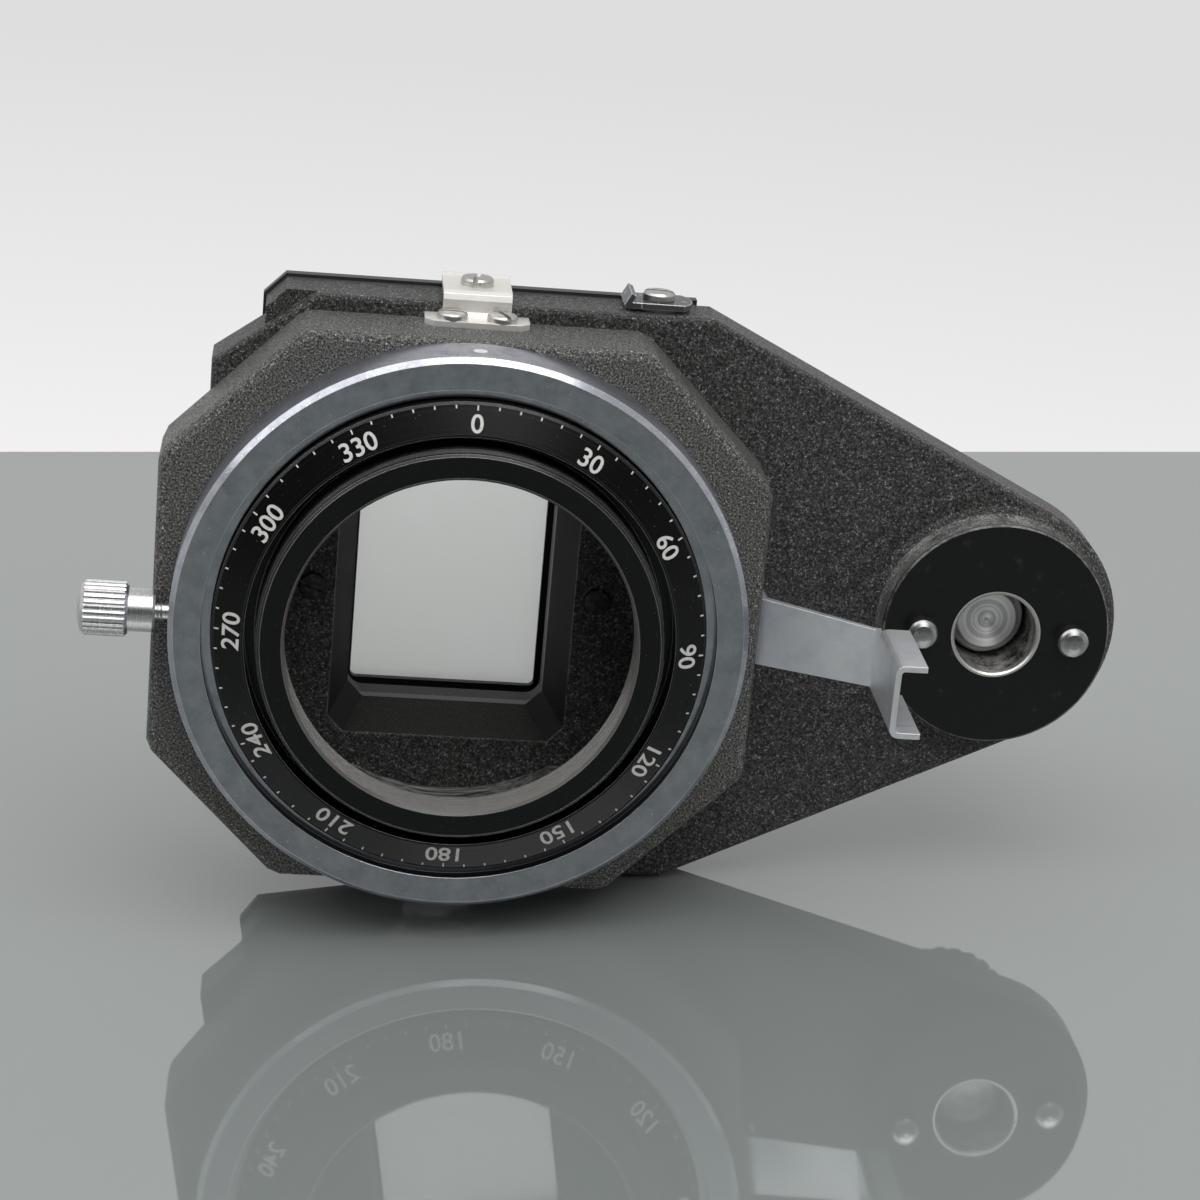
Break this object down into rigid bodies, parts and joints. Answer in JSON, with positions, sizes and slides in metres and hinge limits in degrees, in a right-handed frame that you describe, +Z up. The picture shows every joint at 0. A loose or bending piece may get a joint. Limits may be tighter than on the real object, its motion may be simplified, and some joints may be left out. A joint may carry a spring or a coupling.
{
  "type": "slide duplicator",
  "caption": "Slide-copying head: clamp collar with turning lens thread ring, slide stage with diffuser, and a boss and fork that fix it to a focusing rail.",
  "frame": {"origin": "on the ring's axis, at the face of the clamp collar, inside the length of the lens thread", "axes": "+X from the ring to the boss, +Y along the light path from the lens to the slide, +Z up as the device stands"},
  "size_m": [0.1289, 0.0576, 0.079],
  "materials": {
    "crinkle_paint": "coarse crinkled paint, worn bare at the edges",
    "plate_paint": "thin dark paint",
    "satin_chrome": "satin, fine turning marks",
    "black_anodised": "black anodised aluminium, satin",
    "nickel": "nickel plate",
    "bright_steel": "turned or rolled steel, satin",
    "brass": "bare",
    "matt_black": "matt black",
    "knob_black": "black moulded plastic",
    "opal": "opal acrylic sheet"
  },
  "bodies": {
    "housing": {"front_housing": "crinkle_paint", "body_casting": "crinkle_paint", "boss_sleeve": "bright_steel", "locating_pins": "nickel", "clamp_collar": "satin_chrome", "collar_screws": "bright_steel", "top_strap": "nickel", "bottom_strap": "nickel", "strap_screws": "nickel", "strap_studs": "nickel", "catch_bush": "bright_steel", "catch_screw": "nickel", "rail_fork": "bright_steel", "fork_screws": "nickel", "panel_screws": "bright_steel", "rear_plate": "plate_paint", "stage_plate": "matt_black", "slide_guide": "matt_black", "gate_plate": "matt_black", "pressure_springs": "bright_steel", "spring_rivets": "brass", "diffuser": "opal", "diffuser_frame": "matt_black", "rear_screws": "nickel", "strap_spacers": "bright_steel"},
    "lens_ring": {"scale_ring": "black_anodised", "thread_ring": "black_anodised"},
    "clamp_pad": {"brake_pad": "brass"},
    "clamp_screw": {"thumb_screw": "nickel"},
    "screw_washer": {"knob_washer": "nickel"},
    "rail_screw": {"rail_screw": "bright_steel", "rail_knob": "knob_black", "knob_pin": "bright_steel"},
    "catch": {"catch_plate": "bright_steel"}
  },
  "joints": [
    {"name": "ring_turn", "type": "hinge", "parent": "housing", "child": "lens_ring", "pos_m": [0, 0, 0], "axis": [0, -1, 0], "continuous": true},
    {"name": "clamp_slide", "type": "slide", "parent": "housing", "child": "clamp_pad", "axis": [1, 0, 0], "range_m": [0, 0.00036]},
    {"name": "clamp_turn", "type": "hinge", "parent": "clamp_pad", "child": "clamp_screw", "pos_m": [-0.035, 0.0045, 0], "axis": [1, 0, 0], "range_deg": [0, 324]},
    {"name": "screw_slide", "type": "slide", "parent": "housing", "child": "screw_washer", "axis": [0, -1, 0], "range_m": [0, 0.0059]},
    {"name": "screw_turn", "type": "hinge", "parent": "screw_washer", "child": "rail_screw", "pos_m": [0.0675, 0.03, 0], "axis": [0, -1, 0], "continuous": true},
    {"name": "catch_turn", "type": "hinge", "parent": "housing", "child": "catch", "pos_m": [0.0223, 0.0217, 0.0368], "axis": [0, 0, 1], "range_deg": [-90, 90]}
  ],
  "couplings": [
    {"joint": "clamp_turn", "follows": "clamp_slide", "rad_per_m": 15708}
  ]
}
